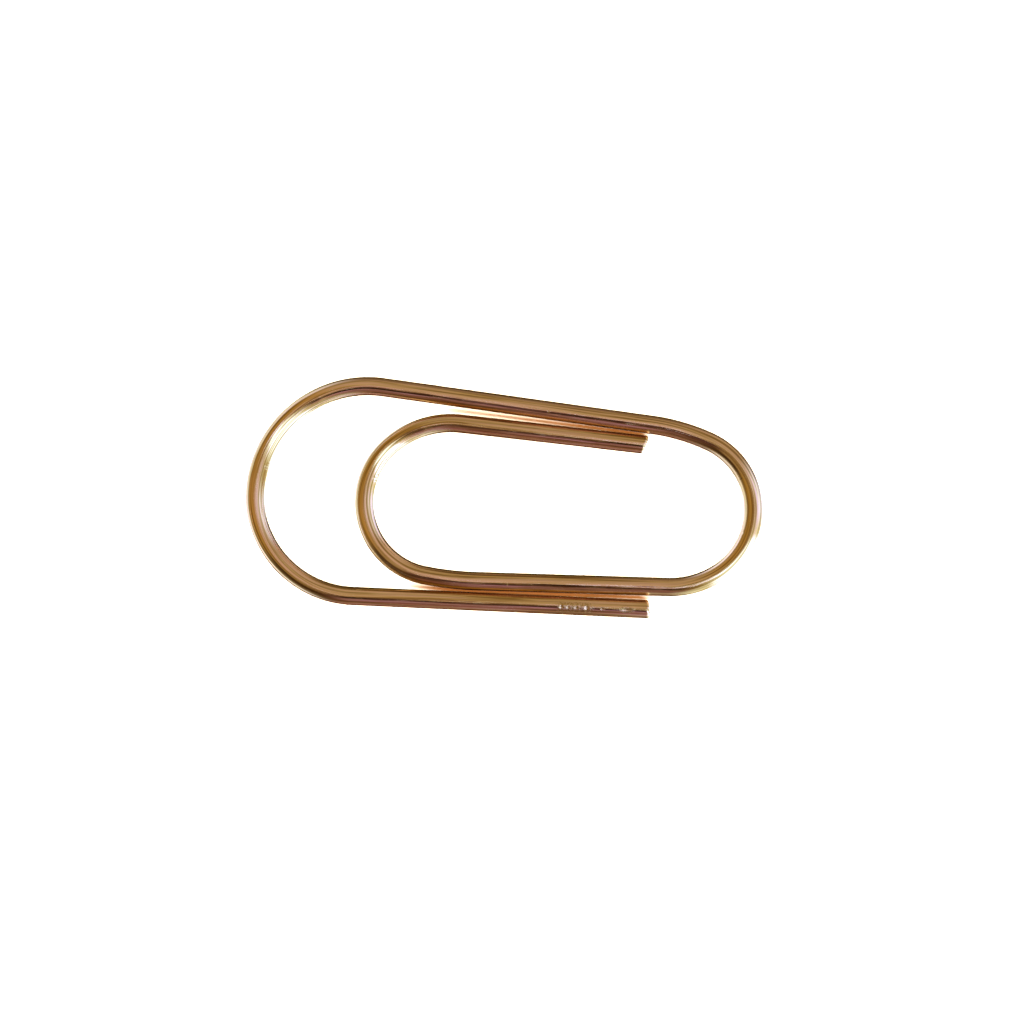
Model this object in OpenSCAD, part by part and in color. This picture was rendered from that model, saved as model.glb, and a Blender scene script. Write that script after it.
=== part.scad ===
// Money clip in the form of a large paperclip, bent from one length of round wire.
//
// The wire starts at the free end of the outer leg, runs along -X, and turns
// clockwise (seen from +Z) through the outer bow, the end bow and the inner bow,
// until it stops at the free end of the tongue. Each node is one stretch of that
// wire. The stretches meet face to face: where the radius of the bend changes, and
// at the crown of each bow, where the wire runs along Y and can twist.

/* [Wire] */
// Diameter of the round wire
wire_d = 2; // [1.6:0.1:2.1]
// Rounding of the edge at the two cut ends
end_rounding = 0.3; // [0.1:0.05:0.5]

/* [Outer loop] */
// Length of the outer leg, from its free end to the outer bow
outer_leg_len = 32; // [26:0.5:36]
// Radius of the bend that leaves the outer leg
outer_foot_r = 11; // [10.8:0.1:12]
// Turn of that bend, in degrees
outer_foot_turn = 68; // [62:1:80]
// Radius from there to the crown of the outer bow
outer_crown_r = 9.7; // [9.4:0.1:11]
// Radius from the crown to the top leg
outer_shoulder_r = 12.1; // [12:0.1:13.5]
// Length of the top leg
top_leg_len = 29.2; // [26:0.2:30.8]
// Slope of the top leg, down towards the end bow, in degrees
top_leg_slope = 5.4; // [4.4:0.1:5.6]

/* [End bow] */
// Radius of the easy bend that leaves the top leg
end_shoulder_r = 22; // [19:0.5:24]
// Turn of that bend, in degrees
end_shoulder_turn = 16.9; // [15:0.1:18.4]
// Radius of the tight bend round the end
end_nose_r = 8.05; // [8:0.05:8.1]
// Radius of the bend that runs into the inner leg
end_heel_r = 9.7; // [9.2:0.1:10.4]
// Turn of that bend, in degrees
end_heel_turn = 34; // [28:1:40]

/* [Inner loop] */
// Length of the inner leg
inner_leg_len = 20.5; // [19.5:0.5:24]
// Slope of the inner leg, down towards the inner bow, in degrees
inner_leg_slope = 0.7; // [0.4:0.1:1.1]
// Radius of the easy bend that leaves the inner leg
inner_foot_r = 34.75; // [28:0.25:42]
// Turn of that bend, in degrees
inner_foot_turn = 9.4; // [7.4:0.1:11.4]
// Radius of the tight bend round the crown of the inner bow
inner_crown_r = 8; // [6.5:0.1:8]
// Radius of the bend that runs into the tongue
inner_shoulder_r = 9.95; // [8:0.05:10.3]
// Turn of that bend, in degrees
inner_shoulder_turn = 48.3; // [40:0.1:53]
// Length of the tongue's straight leg
tongue_leg_len = 20.2; // [16:0.1:22]
// Slope of the tongue, down towards its free end, in degrees
tongue_leg_slope = 4.05; // [3.65:0.05:5]

/* [Hidden] */
$fn = 96;
polished_gold = "#C9A063";
wire_r = wire_d / 2;

// Each stretch of wire is [radius, turn in degrees], or [0, length] where it is straight
outer_leg_run = [0, outer_leg_len];
outer_foot_run = [outer_foot_r, outer_foot_turn];
outer_crown_run = [outer_crown_r, 90 - outer_foot_turn];
outer_shoulder_run = [outer_shoulder_r, 90 + top_leg_slope];
top_leg_run = [0, top_leg_len];
end_shoulder_run = [end_shoulder_r, end_shoulder_turn];
end_nose_upper_run = [end_nose_r, 90 - top_leg_slope - end_shoulder_turn];
end_nose_lower_run = [end_nose_r, 90 - inner_leg_slope - end_heel_turn];
end_heel_run = [end_heel_r, end_heel_turn];
inner_leg_run = [0, inner_leg_len];
inner_foot_run = [inner_foot_r, inner_foot_turn];
inner_crown_lower_run = [inner_crown_r, 90 + inner_leg_slope - inner_foot_turn];
inner_crown_upper_run = [inner_crown_r, 90 + tongue_leg_slope - inner_shoulder_turn];
inner_shoulder_run = [inner_shoulder_r, inner_shoulder_turn];
tongue_leg_run = [0, tongue_leg_len];

// A place on the wire is [point, heading], with the heading in degrees from +X.
// Every bend is clockwise, so its centre lies to the right of the heading.
function to_right(heading) = [sin(heading), -cos(heading)];
function bend_centre(place, radius) = place[0] + radius * to_right(place[1]);
function after_straight(place, length) =
    [place[0] + length * [cos(place[1]), sin(place[1])], place[1]];
function after_bend(place, radius, turn) =
    [bend_centre(place, radius) - radius * to_right(place[1] - turn), place[1] - turn];
function after(place, run) =
    run[0] == 0 ? after_straight(place, run[1]) : after_bend(place, run[0], run[1]);
function walk(place, runs, done = 0) =
    done == len(runs) ? place : walk(after(place, runs[done]), runs, done + 1);

// The origin is under the middle of the clip, on the surface that it lies on. A wire
// started at zero gives the two crowns, which are its ends along X, and its peak along Y.
loose_outer_crown = walk([[0, 0], 180], [outer_leg_run, outer_foot_run, outer_crown_run]);
loose_end_crown = walk(loose_outer_crown,
    [outer_shoulder_run, top_leg_run, end_shoulder_run, end_nose_upper_run]);
loose_peak = after_bend(loose_outer_crown, outer_shoulder_r, 90);
middle = [(loose_outer_crown[0][0] + loose_end_crown[0][0]) / 2, loose_peak[0][1] / 2];

// Where each stretch begins
outer_leg_at = [-middle, 180];
outer_foot_at = after(outer_leg_at, outer_leg_run);
outer_crown_at = after(outer_foot_at, outer_foot_run);
outer_shoulder_at = after(outer_crown_at, outer_crown_run);
top_leg_at = after(outer_shoulder_at, outer_shoulder_run);
end_shoulder_at = after(top_leg_at, top_leg_run);
end_nose_upper_at = after(end_shoulder_at, end_shoulder_run);
end_nose_lower_at = after(end_nose_upper_at, end_nose_upper_run);
end_heel_at = after(end_nose_lower_at, end_nose_lower_run);
inner_leg_at = after(end_heel_at, end_heel_run);
inner_foot_at = after(inner_leg_at, inner_leg_run);
inner_crown_lower_at = after(inner_foot_at, inner_foot_run);
inner_crown_upper_at = after(inner_crown_lower_at, inner_crown_lower_run);
inner_shoulder_at = after(inner_crown_upper_at, inner_crown_upper_run);
tongue_leg_at = after(inner_shoulder_at, inner_shoulder_run);

// Turns +Z to a heading, with the wire's axis half its thickness above the surface
module on_axis(point, heading) {
    translate([point[0], point[1], wire_r]) rotate([0, 90, heading]) children();
}

module straight_wire(place, run) {
    on_axis(place[0], place[1]) cylinder(r = wire_r, h = run[1]);
}

// A straight stretch whose far end is cut off square, with the edge of the cut rounded
module ended_wire(place, run) {
    face_r = wire_r - end_rounding;
    on_axis(place[0], place[1]) {
        cylinder(r = wire_r, h = run[1] - end_rounding);
        cylinder(r = face_r, h = run[1]);
        translate([0, 0, run[1] - end_rounding])
            rotate_extrude()
                translate([face_r, 0])
                    circle(r = end_rounding);
    }
}

module bent_wire(place, run) {
    centre = bend_centre(place, run[0]);
    translate([centre[0], centre[1], wire_r])
        rotate([0, 0, place[1] + 90 - run[1]])
            rotate_extrude(angle = run[1])
                translate([run[0], 0])
                    circle(r = wire_r);
}

// The outer leg is drawn from the outer bow to its free end, back along +X
module outer_leg() color(polished_gold) ended_wire([outer_foot_at[0], 0], outer_leg_run);
module outer_foot() color(polished_gold) bent_wire(outer_foot_at, outer_foot_run);
module outer_crown() color(polished_gold) bent_wire(outer_crown_at, outer_crown_run);
module outer_shoulder() color(polished_gold) bent_wire(outer_shoulder_at, outer_shoulder_run);
module top_leg() color(polished_gold) straight_wire(top_leg_at, top_leg_run);
module end_shoulder() color(polished_gold) bent_wire(end_shoulder_at, end_shoulder_run);
module end_nose_upper() color(polished_gold) bent_wire(end_nose_upper_at, end_nose_upper_run);
module end_nose_lower() color(polished_gold) bent_wire(end_nose_lower_at, end_nose_lower_run);
module end_heel() color(polished_gold) bent_wire(end_heel_at, end_heel_run);
module inner_leg() color(polished_gold) straight_wire(inner_leg_at, inner_leg_run);
module inner_foot() color(polished_gold) bent_wire(inner_foot_at, inner_foot_run);
module inner_crown_lower()
    color(polished_gold) bent_wire(inner_crown_lower_at, inner_crown_lower_run);
module inner_crown_upper()
    color(polished_gold) bent_wire(inner_crown_upper_at, inner_crown_upper_run);
module inner_shoulder() color(polished_gold) bent_wire(inner_shoulder_at, inner_shoulder_run);
module tongue_leg() color(polished_gold) ended_wire(tongue_leg_at, tongue_leg_run);

outer_leg();
outer_foot();
outer_crown();
outer_shoulder();
top_leg();
end_shoulder();
end_nose_upper();
end_nose_lower();
end_heel();
inner_leg();
inner_foot();
inner_crown_lower();
inner_crown_upper();
inner_shoulder();
tongue_leg();
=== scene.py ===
import math
import bpy
import numpy as np
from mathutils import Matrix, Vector, noise


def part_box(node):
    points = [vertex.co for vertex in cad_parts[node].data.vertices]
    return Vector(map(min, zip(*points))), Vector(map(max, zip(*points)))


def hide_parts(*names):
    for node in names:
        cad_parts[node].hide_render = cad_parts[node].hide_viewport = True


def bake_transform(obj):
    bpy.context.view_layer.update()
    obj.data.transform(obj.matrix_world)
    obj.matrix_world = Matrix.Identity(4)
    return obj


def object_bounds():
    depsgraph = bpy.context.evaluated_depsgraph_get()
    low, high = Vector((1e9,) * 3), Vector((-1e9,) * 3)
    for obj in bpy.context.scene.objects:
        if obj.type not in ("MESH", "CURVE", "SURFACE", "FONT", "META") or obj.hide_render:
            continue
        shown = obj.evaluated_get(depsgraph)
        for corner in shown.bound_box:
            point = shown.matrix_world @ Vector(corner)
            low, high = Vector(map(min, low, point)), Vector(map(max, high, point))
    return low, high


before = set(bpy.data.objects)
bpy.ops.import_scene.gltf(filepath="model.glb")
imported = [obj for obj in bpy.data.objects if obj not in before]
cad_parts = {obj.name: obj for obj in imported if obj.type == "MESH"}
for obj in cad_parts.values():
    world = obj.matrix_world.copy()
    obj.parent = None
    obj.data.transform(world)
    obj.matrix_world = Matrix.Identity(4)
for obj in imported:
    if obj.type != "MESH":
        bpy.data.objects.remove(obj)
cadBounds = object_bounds()
mm = 0.001
scene = bpy.context.scene
print("stage 1: frame loaded,", len(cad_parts), "stretches of wire")


def linear(hexColour):
    # sRGB hex to linear RGBA
    channels = [int(hexColour[i:i + 2], 16) / 255 for i in (1, 3, 5)]
    return [c / 12.92 if c <= 0.04045 else ((c + 0.055) / 1.055) ** 2.4 for c in channels] + [1]


def addNode(tree, kind, settings=None, inputs=None):
    # settings are the node's own properties; inputs are values, sockets to link from, or nodes,
    # which stand for their first output
    node = tree.nodes.new(kind)
    for name, value in (settings or {}).items():
        setattr(node, name, value)
    for key, value in (inputs or {}).items():
        socket = node.inputs[key]
        if isinstance(value, bpy.types.Node):
            value = value.outputs[0]
        if isinstance(value, bpy.types.NodeSocket):
            tree.links.new(value, socket)
        else:
            socket.default_value = value
    return node


# Camera: straight above, with the long lens of a jeweller's close-up
view = {
    "lens": 100, "sensor": 36,   # mm
    "frameWidth": 110.08 * mm,   # what the frame spans at the wire's middle
    "sideStep": 0.885 * mm,      # from the clip's middle to the camera's axis
    "downStep": -1.525 * mm,
    "roll": 2.56,                # degrees; the clip lies a little askew
}


def placeCamera():
    low, high = cadBounds
    middle = (low + high) / 2
    data = bpy.data.cameras.new("overheadCamera")
    data.lens = view["lens"]
    data.sensor_width = view["sensor"]
    distance = view["frameWidth"] * view["lens"] / view["sensor"]
    data.clip_start = 0.01
    data.clip_end = 20
    camera = bpy.data.objects.new("overheadCamera", data)
    camera.location = (middle.x + view["sideStep"], middle.y + view["downStep"],
                       middle.z + distance)
    camera.rotation_euler = (0, 0, math.radians(view["roll"]))
    scene.collection.objects.link(camera)
    scene.camera = camera


placeCamera()

wire = {
    "radius": 1.0 * mm,
    "cutRounding": 0.34 * mm,
    "ringSpacing": 0.25 * mm,
    "fineSpacing": 0.04 * mm,    # round the punch marks and nicks
    "fineMargin": 0.3,           # mm, beyond a mark's own length
    "fineNick": 0.4,             # mm to either side of a nick
    "sides": 120,
    "waviness": 0.0025 * mm,     # left by bending and hand polishing
    "waveLength": 5 * mm,
    "waveSeed": 7,
    "endZone": 1.2 * mm,         # how far from the cut the two ends lean
    "tipSlant": 0.2,             # the tongue's tip falls back this much across its width
    "sawSlant": 0.1,             # and the outer leg's end leans this much the other way
}

# The centreline, in the order it was bent: (bend radius or 0, turn in degrees or length)
runs = [
    (0, 32.0), (11.0, 68.0), (9.7, 22.0), (12.1, 95.4),           # outer leg and bow
    (0, 29.2), (22.0, 16.9), (8.05, 122.9), (9.7, 34.0),          # top leg and end bow
    (0, 20.5), (34.75, 9.4), (8.0, 127.05), (9.95, 48.3), (0, 20.2),  # inner leg, bow, tongue
]


def runLength(run):
    radius, amount = run
    return (amount if radius == 0 else radius * math.radians(amount)) * mm


def startOfWire():
    low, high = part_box("outer_leg")
    return np.array([high.x, (low.y + high.y) / 2]), math.pi


def wireAt(distance):
    # Point on the centreline and heading, at a distance from the outer leg's free end
    point, heading = startOfWire()
    for run in runs:
        step = min(distance, runLength(run))
        if run[0] == 0:
            point = point + step * np.array([math.cos(heading), math.sin(heading)])
        else:
            radius = run[0] * mm
            centre = point + radius * np.array([math.sin(heading), -math.cos(heading)])
            heading -= step / radius
            point = centre - radius * np.array([math.sin(heading), -math.cos(heading)])
        distance -= step
        if distance <= 1e-12:
            break
    return point, heading


runStarts = np.concatenate([[0], np.cumsum([runLength(r) for r in runs])])
wireLength = runStarts[-1]
seams = [0, (runStarts[4] + runStarts[5]) / 2, (runStarts[8] + runStarts[9]) / 2, wireLength]
axisHeight = wire["radius"]
print("stage 2: centreline of", round(wireLength / mm, 1), "mm")

# Blank punch marks near the outer leg's free end, in mm: place along the wire, size, outline
# (1 is a lozenge, 2 an ellipse) and depth
punchMarks = [
    {"at": 9.5, "long": 0.6, "wide": 0.75, "outline": 1.3, "depth": 0.05},
    {"at": 8.75, "long": 0.45, "wide": 0.5, "outline": 2.0, "depth": 0.04},
    {"at": 7.9, "long": 0.6, "wide": 0.55, "outline": 1.2, "depth": 0.045},
    {"at": 6.75, "long": 0.7, "wide": 0.85, "outline": 1.5, "depth": 0.055},
    {"at": 5.1, "long": 0.5, "wide": 0.3, "outline": 2.0, "depth": 0.025},
    {"at": 2.5, "long": 1.3, "wide": 0.6, "outline": 2.0, "depth": 0.05},
]
punch = {
    "lean": 9.0,                 # degrees the marks sit towards the clip's outside
    "wall": 0.95,                # share of the mark taken by its sloping wall
    "crown": 0.01 * mm,          # the floor of a mark is slightly domed
    "leastBite": 0.02 * mm,      # towards the sides, where the round wire falls away
    "burr": 0.08,                # metal raised round a mark, as a share of its depth
    "burrAt": 1.2, "burrWidth": 0.17,                      # in half sizes of the mark
    "stain": 0.6, "stainEnds": 1.5, "stainFade": 0.5,      # dull metal round a mark, likewise
    "grit": 0.01 * mm,           # the face of the wire round the marks, roughened by the blows
    "gritSize": 0.3 * mm,
    "gritFrom": 5.6 * mm, "gritTo": 10.4 * mm, "gritEnds": 1 * mm,
    "gritFace": 0.75, "gritFade": 0.15,                    # cosines: only the upper face
    "gritStain": 0.7,
}

# Small nicks from use: place along the wire (mm), place round it (degrees from the top, positive
# towards the clip's inside), length round and width along the wire (mm), depth (mm)
nicks = [
    (51.9, 52, 0.5, 0.16, 0.04), (52.5, 60, 0.3, 0.2, 0.02), (86.9, 13, 0.22, 0.14, 0.014),
    (92.0, 22, 0.12, 0.12, 0.01), (110.1, 38, 0.3, 0.16, 0.015), (116.6, 55, 0.3, 0.3, 0.02),
    (144.8, -14, 0.3, 0.1, 0.012), (167.6, 50, 0.5, 0.16, 0.035), (168.4, 62, 0.3, 0.2, 0.02),
    (190.2, 33, 0.25, 0.12, 0.014), (13.4, 47, 0.4, 0.1, 0.012), (15.2, 52, 0.3, 0.14, 0.01),
]
nickLip = {"height": 0.3, "at": 1.8}    # raised edge, in depths and in half widths of the nick

# Flats that the bending former left on the bows: place, turn, length and depth, as for the nicks
flats = [(56.6, 18, 10.5, 0.12), (171.5, 18, 8.5, 0.12), (120.0, -40, 12.0, 0.05)]
flatWidth = 32    # degrees round the wire, from a flat's middle to where it has nearly run out


def stations(start, end):
    # Distances along the wire at which a ring of the sweep stands
    fine = [(m["at"] * mm, (m["long"] + wire["fineMargin"]) * mm) for m in punchMarks]
    fine += [(nick[0] * mm, wire["fineNick"] * mm) for nick in nicks]
    marks = [start, end] + [s for s in runStarts if start < s < end]
    marks += [c + side * half for c, half in fine for side in (-1, 1) if start < c + side * half < end]
    marks = sorted(set(marks))
    places = [start]
    for a, b in zip(marks, marks[1:]):
        isFine = any(abs((a + b) / 2 - c) < half for c, half in fine)
        spacing = wire["fineSpacing"] if isFine else wire["ringSpacing"]
        count = max(1, math.ceil((b - a) / spacing))
        places += [a + (b - a) * i / count for i in range(1, count + 1)]
    rounding = wire["cutRounding"]
    steps = [rounding * (1 - math.cos(math.radians(angle))) for angle in range(0, 91, 9)]
    if start == 0:
        places = [start + s for s in steps] + [p for p in places if p > start + rounding + 1e-6]
    if end == wireLength:
        places = [p for p in places if p < end - rounding - 1e-6] + [end - s for s in reversed(steps)]
    return places


def fullness(distance):
    # The wire's radius at a distance along it, as a share of its full radius: less at a cut end
    rounding = wire["cutRounding"]
    inward = max(0, min(distance, wireLength - distance, rounding))
    rise = math.sqrt(rounding ** 2 - (rounding - inward) ** 2)
    return 1 - (rounding - rise) / wire["radius"]


def pathObject(name, start, end):
    curve = bpy.data.curves.new(name, "CURVE")
    curve.dimensions = "3D"
    places = stations(start, end)
    spline = curve.splines.new("POLY")
    spline.points.add(len(places) - 1)
    for point, distance in zip(spline.points, places):
        x, y = wireAt(distance)[0]
        point.co = (x, y, axisHeight, 1)
        point.radius = fullness(distance)
    path = bpy.data.objects.new(name, curve)
    scene.collection.objects.link(path)
    return path


def drawnWireTree(material):
    # Sweeps a round section along the path and stores where each point lay on the straight wire
    # before it was bent, for the marks and the finish
    tree = bpy.data.node_groups.new("drawnWire", "GeometryNodeTree")
    sockets = [("Path", "NodeSocketGeometry"), ("Wire Radius", "NodeSocketFloat"),
               ("Start Distance", "NodeSocketFloat"), ("Sides", "NodeSocketInt"),
               ("Waviness", "NodeSocketFloat"), ("Wave Length", "NodeSocketFloat"),
               ("Wave Seed", "NodeSocketInt")]
    for name, kind in sockets:
        tree.interface.new_socket(name, in_out="INPUT", socket_type=kind)
    tree.interface.new_socket("Wire", in_out="OUTPUT", socket_type="NodeSocketGeometry")
    given = addNode(tree, "NodeGroupInput").outputs
    position = addNode(tree, "GeometryNodeInputPosition")
    fromSeam = addNode(tree, "GeometryNodeSplineParameter").outputs["Length"]
    distance = addNode(tree, "ShaderNodeMath", {"operation": "ADD"},
                       {0: fromSeam, 1: given["Start Distance"]})
    # the path's own radius is the wire's fullness, which falls off at the cut ends
    radius = addNode(tree, "ShaderNodeMath", {"operation": "MULTIPLY"},
                     {0: addNode(tree, "GeometryNodeInputRadius"), 1: given["Wire Radius"]})
    upright = addNode(tree, "GeometryNodeSetCurveNormal", {"mode": "Z_UP"}, {"Curve": given["Path"]})
    along = addNode(tree, "GeometryNodeCaptureAttribute", {"domain": "POINT"}, {"Geometry": upright})
    along.capture_items.new("FLOAT", "Along")
    along.capture_items.new("VECTOR", "Middle")
    tree.links.new(distance.outputs[0], along.inputs["Along"])
    tree.links.new(position.outputs[0], along.inputs["Middle"])
    circle = addNode(tree, "GeometryNodeCurvePrimitiveCircle", {"mode": "RADIUS"},
                     {"Resolution": given["Sides"], "Radius": 1.0})
    section = addNode(tree, "GeometryNodeCaptureAttribute", {"domain": "POINT"}, {"Geometry": circle})
    section.capture_items.new("VECTOR", "Across")
    tree.links.new(position.outputs[0], section.inputs["Across"])
    swept = addNode(tree, "GeometryNodeCurveToMesh", None,
                    {"Curve": along.outputs["Geometry"], "Profile Curve": section.outputs["Geometry"],
                     "Scale": radius, "Fill Caps": True})
    across = addNode(tree, "ShaderNodeVectorMath", {"operation": "SCALE"},
                     {0: section.outputs["Across"], "Scale": given["Wire Radius"]})
    across = addNode(tree, "ShaderNodeSeparateXYZ", None, {0: across}).outputs
    straight = addNode(tree, "ShaderNodeCombineXYZ", None,
                       {0: along.outputs["Along"], 1: across[0], 2: across[1]})
    stored = addNode(tree, "GeometryNodeStoreNamedAttribute",
                     {"data_type": "FLOAT_VECTOR", "domain": "POINT"},
                     {"Geometry": swept, "Name": "straightWire", "Value": straight})
    # long, shallow waves in the surface
    perMetre = addNode(tree, "ShaderNodeMath", {"operation": "DIVIDE"}, {0: 1.0, 1: given["Wave Length"]})
    scaled = addNode(tree, "ShaderNodeVectorMath", {"operation": "SCALE"},
                     {0: straight, "Scale": perMetre})
    waves = addNode(tree, "ShaderNodeTexNoise", {"noise_dimensions": "4D", "normalize": False},
                    {"Vector": scaled, "W": given["Wave Seed"], "Scale": 1.0, "Detail": 1.0})
    height = addNode(tree, "ShaderNodeMath", {"operation": "MULTIPLY"},
                     {0: waves, 1: given["Waviness"]})
    outward = addNode(tree, "ShaderNodeVectorMath", {"operation": "SUBTRACT"},
                      {0: position, 1: along.outputs["Middle"]})
    outward = addNode(tree, "ShaderNodeVectorMath", {"operation": "NORMALIZE"}, {0: outward})
    push = addNode(tree, "ShaderNodeVectorMath", {"operation": "SCALE"}, {0: outward, "Scale": height})
    waved = addNode(tree, "GeometryNodeSetPosition", None, {"Geometry": stored, "Offset": push})
    # shaded smooth, but for the rim of each cut
    shaded = addNode(tree, "GeometryNodeSetShadeSmooth", {"domain": "FACE"},
                     {"Geometry": waved, "Shade Smooth": True})
    corner = addNode(tree, "GeometryNodeInputMeshEdgeAngle").outputs["Unsigned Angle"]
    sharp = addNode(tree, "ShaderNodeMath", {"operation": "GREATER_THAN"},
                    {0: corner, 1: math.radians(60)})
    creased = addNode(tree, "GeometryNodeSetShadeSmooth", {"domain": "EDGE"},
                      {"Geometry": shaded, "Shade Smooth": False, "Selection": sharp})
    real = addNode(tree, "GeometryNodeRealizeInstances", None, {"Geometry": creased})
    finished = addNode(tree, "GeometryNodeSetMaterial", None, {"Geometry": real, "Material": material})
    addNode(tree, "NodeGroupOutput", None, {"Wire": finished})
    return tree


finish = {
    "gold": "#EBC88C",           # 14 carat yellow
    "residue": "#B0904A",        # old polish held in the struck metal
    "tones": ((0.38, "#B48E4C"), (0.5, "#EBC88C"), (0.61, "#FFD6B4")),    # greener to rosier
    # Noise drawn out along the wire: (length along it, spacing round it, detail). The lines are
    # drawn much coarser than a real die leaves them, so that they show
    "streaks": (11 * mm, 0.22 * mm, 3.0),
    "drawLines": (16 * mm, 0.2 * mm, 3.0),
    "scratches": (3 * mm, 0.05 * mm, 1.0),
    "clouds": (2.5 * mm, 1.2 * mm, 3.0),
    "specks": (0.22 * mm, 0.16 * mm, 2.0),
    "scratchLevels": (0.62, 0.75),    # where each noise starts to count and where it counts in full
    "cloudLevels": (0.3, 0.7),
    "speckLevels": (0.48, 0.62),
    "evenResidue": 0.25,         # share of the residue that isn't in specks
    "drawLineDepth": 0.03 * mm,
    "scratchDepth": -0.08,       # as a share of it
    "roughness": 0.09,
    "cloudRoughness": (-0.02, 0.04),
    "scratchRoughness": 0.08,
    "punchedRoughness": 0.28,    # more, where the wire was struck
}


def polishedGold():
    # 14 carat yellow gold, drawn to round wire, bent cold and polished on a felt wheel: a warm
    # mirror, streaked by faint draw lines, with hairline scratches from pockets and notes
    material = bpy.data.materials.new("polishedYellowGold")
    material.use_nodes = True
    tree = material.node_tree
    tree.nodes.clear()
    place = addNode(tree, "ShaderNodeAttribute", {"attribute_name": "straightWire"}).outputs["Vector"]
    punched = addNode(tree, "ShaderNodeAttribute", {"attribute_name": "dull"}).outputs["Fac"]

    def stretched(pattern):
        length, spacing, detail = finish[pattern]
        scaled = addNode(tree, "ShaderNodeVectorMath", {"operation": "MULTIPLY"},
                         {0: place, 1: (1 / length, 1 / spacing, 1 / spacing)})
        return addNode(tree, "ShaderNodeTexNoise", None,
                       {"Vector": scaled, "Scale": 1.0, "Detail": detail})

    # colour: long streaks of tone, and residue in the struck metal
    tone = addNode(tree, "ShaderNodeValToRGB", None, {"Fac": stretched("streaks")})
    ramp = tone.color_ramp.elements
    ramp.new(0.5)
    for element, (spot, shade) in zip(ramp, finish["tones"]):
        element.position = spot
        element.color = linear(shade)
    low, high = finish["speckLevels"]
    specks = addNode(tree, "ShaderNodeMapRange", None,
                     {"Value": stretched("specks"), "From Min": low, "From Max": high})
    held = addNode(tree, "ShaderNodeMath", {"operation": "MULTIPLY"}, {0: specks, 1: punched})
    held = addNode(tree, "ShaderNodeMath", {"operation": "MULTIPLY_ADD", "use_clamp": True},
                   {0: punched, 1: finish["evenResidue"], 2: held})
    stained = addNode(tree, "ShaderNodeMix", {"data_type": "RGBA"},
                      {0: held, 6: tone, 7: linear(finish["residue"])})
    # roughness: clouds from the felt wheel, scratches, and the struck metal
    low, high = finish["scratchLevels"]
    scratches = addNode(tree, "ShaderNodeMapRange", None,
                        {"Value": stretched("scratches"), "From Min": low, "From Max": high})
    low, high = finish["cloudLevels"]
    clearest, dullest = (finish["roughness"] + step for step in finish["cloudRoughness"])
    roughness = addNode(tree, "ShaderNodeMapRange", None,
                        {"Value": stretched("clouds"), "From Min": low, "From Max": high,
                         "To Min": clearest, "To Max": dullest})
    for worn, share in ((scratches, "scratchRoughness"), (punched, "punchedRoughness")):
        roughness = addNode(tree, "ShaderNodeMath", {"operation": "MULTIPLY_ADD"},
                            {0: worn, 1: finish[share], 2: roughness})
    height = addNode(tree, "ShaderNodeMath", {"operation": "MULTIPLY_ADD"},
                     {0: scratches, 1: finish["scratchDepth"], 2: stretched("drawLines")})
    bump = addNode(tree, "ShaderNodeBump", None,
                   {"Height": height, "Distance": finish["drawLineDepth"], "Strength": 1.0})
    shader = addNode(tree, "ShaderNodeBsdfPrincipled", None,
                     {"Metallic": 1.0, "Base Color": stained.outputs[2], "Roughness": roughness,
                      "Normal": bump})
    addNode(tree, "ShaderNodeOutputMaterial", None, {"Surface": shader})
    return material


def sweepWire(name, start, end, tree):
    # One plain mesh, swept along a path that goes once the mesh is made
    path = pathObject(name + "Path", start, end)
    modifier = path.modifiers.new("drawnWire", "NODES")
    modifier.node_group = tree
    values = {"Wire Radius": wire["radius"], "Start Distance": float(start), "Sides": wire["sides"],
              "Waviness": wire["waviness"], "Wave Length": wire["waveLength"],
              "Wave Seed": wire["waveSeed"]}
    for item in tree.interface.items_tree:
        if item.in_out == "INPUT" and item.name in values:
            modifier[item.identifier] = values[item.name]
    depsgraph = bpy.context.evaluated_depsgraph_get()
    mesh = bpy.data.meshes.new_from_object(path.evaluated_get(depsgraph), depsgraph=depsgraph)
    mesh.name = name
    pressMarks(mesh)
    bpy.data.objects.remove(path)
    piece = bpy.data.objects.new(name, mesh)
    scene.collection.objects.link(piece)
    return piece


def smooth(value):
    value = np.clip(value, 0, 1)
    return value * value * (3 - 2 * value)


def angleRound(points, straight):
    # Angle of each point round the wire: 0 on top, positive towards the clip's inside
    along = straight[:, 0]
    middle, heading = wireAt(float(along[0]))
    inward = np.array([math.sin(heading), -math.cos(heading)])
    # which way the sweep counts round the wire, told from the first ring
    ring = np.abs(along - along[0]) < 1e-7
    side = np.sign(((points[ring][:, :2] - middle) @ inward * straight[ring, 1]).sum())
    up = np.sign(((points[ring][:, 2] - axisHeight) * straight[ring, 2]).sum())
    return np.arctan2(side * straight[:, 1], up * straight[:, 2])


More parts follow.
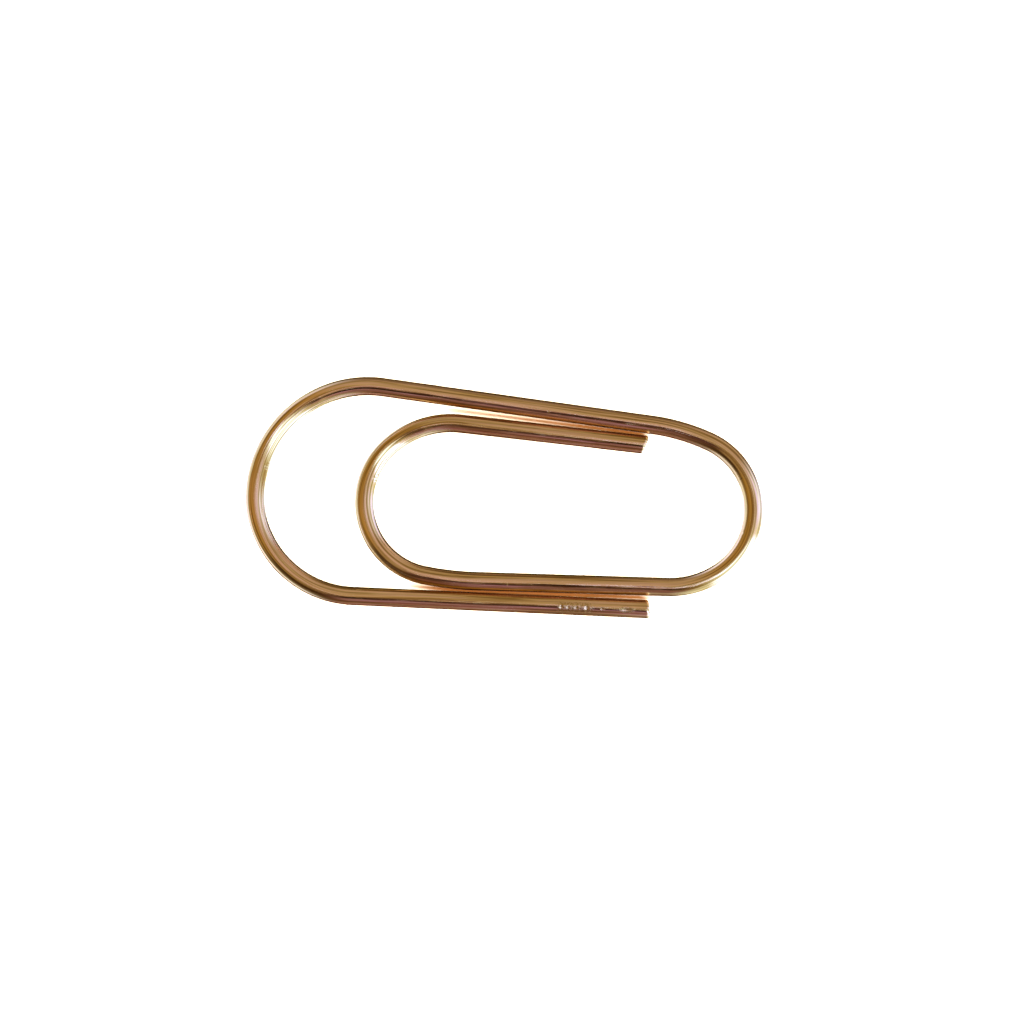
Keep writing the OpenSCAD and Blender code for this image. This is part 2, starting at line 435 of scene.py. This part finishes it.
def punchWire(straight, angle):
    # How deep the punch drives each point, and how dull it leaves the metal there
    along = straight[:, 0]
    tilt = angle + math.radians(punch["lean"])
    radius = wire["radius"]
    drop = np.zeros(len(along))
    dull = np.zeros(len(along))
    for mark in punchMarks:
        a = (along - mark["at"] * mm) / (mark["long"] * mm / 2)
        b = tilt * radius / (mark["wide"] * mm / 2)
        power = mark["outline"]
        reach = (np.abs(a) ** power + np.abs(b) ** power) ** (1 / power)
        # a flat punch bites deepest on the crown of the round wire
        bite = mark["depth"] * mm - radius * (1 - np.cos(tilt))
        bite = np.maximum(bite, punch["leastBite"]) - punch["crown"] * smooth(1 - reach)
        drop += bite * smooth((1 - reach) / punch["wall"])
        burr = np.exp(-((reach - punch["burrAt"]) / punch["burrWidth"]) ** 2)
        drop -= punch["burr"] * mark["depth"] * mm * burr
        stain = smooth((punch["stainEnds"] - reach) / punch["stainFade"])
        dull = np.maximum(dull, punch["stain"] * stain)
    face = smooth((np.cos(tilt) - punch["gritFace"]) / punch["gritFade"])
    face *= smooth((along - punch["gritFrom"]) / punch["gritEnds"])
    face *= smooth((punch["gritTo"] - along) / punch["gritEnds"])
    for index in np.nonzero(face > 0.01)[0]:
        grain = noise.noise(Vector(straight[index] / punch["gritSize"]))
        drop[index] += face[index] * punch["grit"] * grain
    return drop, np.maximum(dull, punch["gritStain"] * face)


def wearWire(along, angle):
    # How deep the former's flats and the nicks go at each point
    drop = np.zeros(len(along))
    for at, turn, long, depth in flats:
        a = np.abs(along - at * mm) / (long * mm / 2)
        b = (angle - math.radians(turn)) / math.radians(flatWidth)
        drop += depth * mm * np.clip(1 - a ** 2, 0, 1) * np.exp(-b ** 2)
    for at, turn, across, width, depth in nicks:
        a = (along - at * mm) / (width * mm / 2)
        b = (angle - math.radians(turn)) * wire["radius"] / (across * mm / 2)
        lip = nickLip["height"] * np.exp(-(np.abs(a) - nickLip["at"]) ** 2 - b ** 4)
        drop += depth * mm * (np.exp(-a ** 2 - b ** 4) - lip)
    return drop


def leanEnds(points, along, angle):
    # Side cutters leave the tongue's tip askew, and the outer leg was sawn, its outer side proud
    radius = wire["radius"]
    across = np.sin(angle) * radius
    for end, lean in ((wireLength, -wire["tipSlant"] * (across + radius)), (0, wire["sawSlant"] * across)):
        heading = wireAt(end)[1]
        direction = np.array([math.cos(heading), math.sin(heading), 0])
        share = smooth(1 - np.abs(along - end) / wire["endZone"])
        points += (share * lean)[:, None] * direction


def pressMarks(mesh):
    # Presses the marks, flats and nicks into the swept wire and leans its cut ends
    count = len(mesh.vertices)
    points = np.zeros(count * 3)
    mesh.vertices.foreach_get("co", points)
    points = points.reshape(-1, 3)
    straight = np.zeros(count * 3, dtype=np.float32)
    mesh.attributes["straightWire"].data.foreach_get("vector", straight)
    straight = straight.reshape(-1, 3).astype(float)
    along = straight[:, 0]
    angle = angleRound(points, straight)
    drop, dull = punchWire(straight, angle)
    drop += wearWire(along, angle)
    touched = np.abs(drop) > 2e-8
    if touched.any():
        places, which = np.unique(np.round(along[touched], 8), return_inverse=True)
        centres = np.array([np.append(wireAt(float(s))[0], axisHeight) for s in places])[which]
        out = points[touched] - centres
        out /= np.linalg.norm(out, axis=1)[:, None]
        points[touched] -= out * drop[touched][:, None]
    leanEnds(points, along, angle)
    mesh.vertices.foreach_set("co", points.ravel())
    mesh.attributes.new("dull", "FLOAT", "POINT").data.foreach_set("value", dull)
    mesh.update()


wireTree = drawnWireTree(polishedGold())
# Each piece is one bow with half of the legs it joins; on the real clip the straight legs stay rigid
# and the bow between them flexes: (piece, body and leg it starts on, body and leg it ends on, nodes)
pieces = [
    ("outer_bow_wire", ("outer_arm", "outer_leg"), ("top_span", "top_leg"),
     ["outer_leg", "outer_foot", "outer_crown", "outer_shoulder", "top_leg"]),
    ("end_bow_wire", ("top_span", "top_leg"), ("inner_loop", "inner_leg"),
     ["end_shoulder", "end_nose_upper", "end_nose_lower", "end_heel", "inner_leg"]),
    ("inner_bow_wire", ("inner_loop", "inner_leg"), ("tongue", "tongue_leg"),
     ["inner_foot", "inner_crown_lower", "inner_crown_upper", "inner_shoulder", "tongue_leg"]),
]


for number, (name, (firstBody, firstLeg), (secondBody, secondLeg), nodes) in enumerate(pieces):
    piece = sweepWire(name, seams[number], seams[number + 1], wireTree)
    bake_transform(piece)
    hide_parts(*nodes)
print("stage 3: wire swept in", len(pieces), "pieces")

paper = {
    "colour": "#F2F1EE",
    "roughness": 0.9,
    "half": 450 * mm,
    "gap": 0.02 * mm,            # below the clip, so that the two never share a face
    "backdrop": "#FEFEFD",       # plain white beyond it
}


def buildFloor():
    # Matt uncoated card, so white under the panels that it shows no texture
    half = paper["half"]
    corners = [(-half, -half, 0), (half, -half, 0), (half, half, 0), (-half, half, 0)]
    mesh = bpy.data.meshes.new("floor")
    mesh.from_pydata(corners, [], [(0, 1, 2, 3)])
    floor = bpy.data.objects.new("floor", mesh)
    material = bpy.data.materials.new("matWhitePaper")
    material.use_nodes = True
    shader = material.node_tree.nodes["Principled BSDF"]
    shader.inputs["Base Color"].default_value = linear(paper["colour"])
    shader.inputs["Roughness"].default_value = paper["roughness"]
    mesh.materials.append(material)
    floor.location.z = cadBounds[0].z - paper["gap"]
    floor.visible_glossy = False
    scene.collection.objects.link(floor)


# The room as the polished wire sees it, in its own words: compass is where a card stands round the
# clip (0 right, 90 far side), reach is how far the wire's face tilts towards it (0 flat up, 0.7
# upright to the horizon, 1 edge-on), soft and edge are the widths of the fades. Later cards lie
# on top. Colours are as they show on the gold.
cards = [
    {"name": "room", "colour": "#9C7540"},
    {"name": "farWall", "compass": 88, "spread": 90, "soft": 30, "colour": "#A37D47"},
    {"name": "farShelf", "compass": 88, "spread": 70, "soft": 30, "reach": (0.28, 0.36), "edge": 0.1,
     "colour": "#8E6A3C"},
    {"name": "farWallFoot", "compass": 88, "spread": 70, "soft": 30, "reach": (0.62, 2), "edge": 0.25,
     "colour": "#76552B"},
    {"name": "farRight", "compass": 41, "spread": 52, "soft": 25, "colour": "#A88150"},
    {"name": "leftWall", "compass": 168, "spread": 100, "soft": 30, "colour": "#976A28"},
    {"name": "rightWall", "compass": 8, "spread": 42, "soft": 22, "reach": (0.05, 2), "edge": 0.3,
     "colour": "#C6A57C"},
    {"name": "rightWallFoot", "compass": 12, "spread": 38, "soft": 24, "reach": (0.46, 2), "edge": 0.34,
     "colour": "#F2E2CE"},
    {"name": "nearSide", "compass": -94, "spread": 42, "soft": 18, "reach": (0.05, 2), "edge": 0.12,
     "colour": "#74432B"},
    {"name": "nearTable", "compass": -94, "spread": 46, "soft": 18, "reach": (0.66, 0.84), "edge": 0.15,
     "colour": "#916645"},
    {"name": "nearDark", "compass": -91, "spread": 46, "soft": 14, "reach": (0.1, 0.3), "edge": 0.08,
     "colour": "#3C1E0F"},
    {"name": "nearPink", "compass": -91, "spread": 42, "soft": 14, "reach": (0.34, 0.45), "edge": 0.1,
     "colour": "#9A6C5C"},
    {"name": "nearLeft", "compass": -125, "spread": 40, "soft": 16, "reach": (0.32, 2), "edge": 0.2,
     "colour": "#503215"},
    {"name": "windowFoot", "compass": -42, "spread": 74, "soft": 26, "reach": (0.6, 2), "edge": 0.25,
     "colour": "#F6E6B4"},
    {"name": "leftTable", "compass": 178, "spread": 136, "soft": 30, "reach": (0.68, 2), "edge": 0.2,
     "colour": "#EED9AC"},
    {"name": "underEdge", "compass": 70, "spread": 110, "soft": 30, "reach": (0.85, 2), "edge": 0.1,
     "colour": "#463618"},
    {"name": "nearEdge", "compass": -110, "spread": 80, "soft": 24, "reach": (0.9, 2), "edge": 0.12,
     "colour": "#5C3A22"},
    {"name": "skylight", "reach": (-1, 0.08), "edge": 0.1, "colour": "#AC8254"},
]
# a window, arched at its top, inside the yellower glow of its blind
arches = [
    {"compass": -37, "spread": 58, "top": -0.04, "soft": 0.5, "colour": "#E6CC84", "strength": 1.0},
    {"compass": -37, "spread": 44, "top": 0.02, "soft": 0.26, "colour": "#FFFBE8", "strength": 1.4},
]
# where the window meets the table
sill = {"compass": -37, "spread": 70, "soft": 20, "reach": (0.93, 2), "edge": 0.08,
        "colour": "#C2A874"}
clutter = {"scale": 3.5, "detail": 4.0, "depth": 0.35}    # a real room is never even
goldGlow = {"colour": "#F4AC68", "strength": 1.1}    # what gold throws on the paper between two legs


def buildStudio():
    # The cards, the window and its sill, painted one over the other on the sky round the clip
    world = bpy.data.worlds.new("softStudio")
    scene.world = world
    world.use_nodes = True
    world.cycles.sampling_method = "NONE"
    tree = world.node_tree
    tree.nodes.clear()
    direction = addNode(tree, "ShaderNodeTexCoord").outputs["Generated"]
    parts = addNode(tree, "ShaderNodeSeparateXYZ", None, {0: direction}).outputs
    compass = addNode(tree, "ShaderNodeMath", {"operation": "ARCTAN2"}, {0: parts[1], 1: parts[0]})
    # reach is the sine of half the angle down from straight up
    reach = addNode(tree, "ShaderNodeMath", {"operation": "MULTIPLY_ADD"}, {0: parts[2], 1: -0.5, 2: 0.5})
    reach = addNode(tree, "ShaderNodeMath", {"operation": "SQRT"}, {0: reach})
    softEdge = {"interpolation_type": "SMOOTHSTEP"}
    goldTint = linear(finish["gold"])

    def seen(colour, strength=1.0):
        # the card's own colour, from how it shows on the gold
        return [strength * c / g for c, g in zip(linear(colour)[:3], goldTint)] + [1]

    def awayFrom(card):
        # how far round the clip a direction is from the card's middle
        turned = addNode(tree, "ShaderNodeMath", {"operation": "SUBTRACT"},
                         {0: compass, 1: math.radians(card["compass"])})
        return addNode(tree, "ShaderNodeMath", {"operation": "PINGPONG"}, {0: turned, 1: math.pi})

    def cardMask(card):
        # 1 where the card stands, fading to 0 over its soft edges
        mask = 1.0
        if "spread" in card:
            half, soft = math.radians(card["spread"] / 2), math.radians(card["soft"] / 2)
            mask = addNode(tree, "ShaderNodeMapRange", softEdge,
                           {"Value": awayFrom(card), "From Min": half + soft, "From Max": half - soft})
        if "reach" in card:
            low, high = card["reach"]
            edge = card["edge"] / 2
            for outer, inner in ((low - edge, low + edge), (high + edge, high - edge)):
                band = addNode(tree, "ShaderNodeMapRange", softEdge,
                               {"Value": reach, "From Min": outer, "From Max": inner})
                mask = addNode(tree, "ShaderNodeMath", {"operation": "MULTIPLY"}, {0: band, 1: mask})
        return mask

    def archMask(arch):
        # 1 inside half an ellipse that stands on the table's edge
        across = addNode(tree, "ShaderNodeMath", {"operation": "DIVIDE"},
                         {0: awayFrom(arch), 1: math.radians(arch["spread"] / 2)})
        down = addNode(tree, "ShaderNodeMapRange", {"clamp": False},
                       {"Value": reach, "From Min": 1.0, "From Max": arch["top"]})
        out = addNode(tree, "ShaderNodeCombineXYZ", None, {0: across, 1: down})
        out = addNode(tree, "ShaderNodeVectorMath", {"operation": "LENGTH"}, {0: out}).outputs["Value"]
        return addNode(tree, "ShaderNodeMapRange", softEdge,
                       {"Value": out, "From Min": 1 + arch["soft"] / 2, "From Max": 1 - arch["soft"] / 2})

    layers = [(cardMask(card), card) for card in cards[1:]]
    layers += [(archMask(arch), arch) for arch in arches]
    layers += [(cardMask(sill), sill)]
    total = seen(cards[0]["colour"])
    for mask, layer in layers:
        shown = seen(layer["colour"], layer.get("strength", 1.0))
        total = addNode(tree, "ShaderNodeMix", {"data_type": "RGBA"}, {0: mask, 6: total, 7: shown})
        total = total.outputs[2]
    texture = addNode(tree, "ShaderNodeTexNoise", None,
                      {"Vector": direction, "Scale": clutter["scale"], "Detail": clutter["detail"]})
    shade = addNode(tree, "ShaderNodeMapRange", {"clamp": False},
                    {"Value": texture, "To Min": 1 - clutter["depth"], "To Max": 1 + clutter["depth"]})
    total = addNode(tree, "ShaderNodeVectorMath", {"operation": "SCALE"}, {0: total, "Scale": shade})
    # paper close to the wire is lit by light that gold has already warmed
    light = addNode(tree, "ShaderNodeLightPath").outputs
    bounced = addNode(tree, "ShaderNodeMath", {"operation": "GREATER_THAN"},
                      {0: light["Diffuse Depth"], 1: 0.5})
    glow = [goldGlow["strength"] * c for c in linear(goldGlow["colour"])[:3]] + [1]
    total = addNode(tree, "ShaderNodeMix", {"data_type": "RGBA"}, {0: bounced, 6: total, 7: glow})
    plain = addNode(tree, "ShaderNodeMix", {"data_type": "RGBA"},
                    {0: light["Is Camera Ray"], 6: total.outputs[2], 7: linear(paper["backdrop"])})
    background = addNode(tree, "ShaderNodeBackground", None, {"Color": plain.outputs[2], "Strength": 1.0})
    addNode(tree, "ShaderNodeOutputWorld", None, {"Surface": background})


# metres from the clip, metres and watts
panels = {"away": 0.335, "height": 0.69, "long": 1.2, "wide": 0.3, "power": 26.0, "colour": "#FFF3DB"}


def lightFloor():
    # Two long soft panels, near and far, that whiten the paper and leave next to no shadow
    for name, side in (("nearPanel", -1), ("farPanel", 1)):
        data = bpy.data.lights.new(name, "AREA")
        data.shape = "RECTANGLE"
        data.size = panels["long"]
        data.size_y = panels["wide"]
        data.energy = panels["power"]
        data.color = linear(panels["colour"])[:3]
        panel = bpy.data.objects.new(name, data)
        panel.location = (0, side * panels["away"], panels["height"])
        panel.rotation_euler = (-panel.location).to_track_quat("-Z", "Y").to_euler()    # to the clip
        panel.visible_glossy = False
        panel.visible_camera = False
        scene.collection.objects.link(panel)


buildFloor()
buildStudio()
lightFloor()
scene.view_settings.view_transform = "Standard"
print("stage 4: studio lit")
